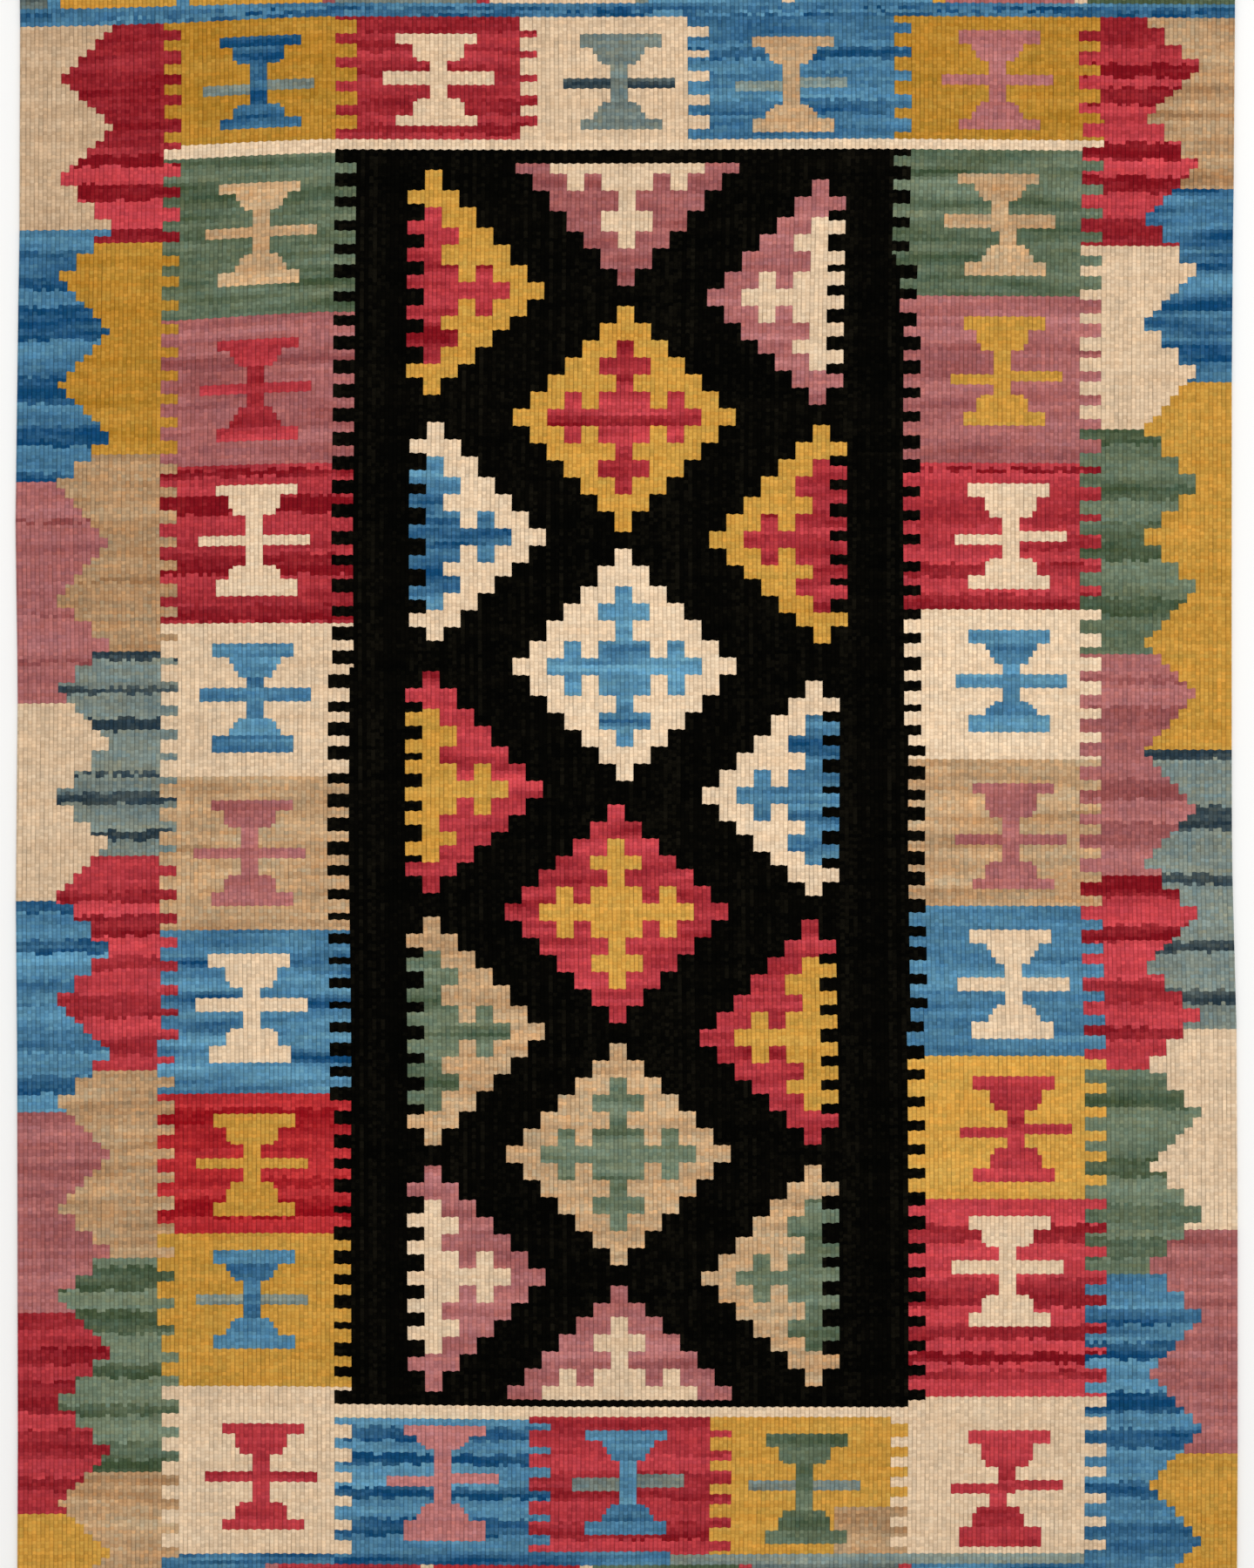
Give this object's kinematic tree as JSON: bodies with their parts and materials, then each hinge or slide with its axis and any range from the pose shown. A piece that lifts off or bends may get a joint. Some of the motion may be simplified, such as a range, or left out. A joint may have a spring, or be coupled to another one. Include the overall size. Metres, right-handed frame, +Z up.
{
  "type": "kilim rug",
  "caption": "Flat-woven wool kilim rug lying flat, with a dark field of stepped medallions inside borders of hourglass figures and interlocking stepped bands.",
  "frame": {"origin": "on the floor under the middle of the rug", "axes": "+Y along the rug and its warp ribs, +X across it, +Z up out of its face"},
  "size_m": [1.0056, 1.5436, 0.0033],
  "materials": {
    "wool_weave": "dull hand-spun wool in a ribbed weft-faced weave, no pile"
  },
  "bodies": {
    "root": {"rug": "wool_weave"}
  },
  "joints": []
}
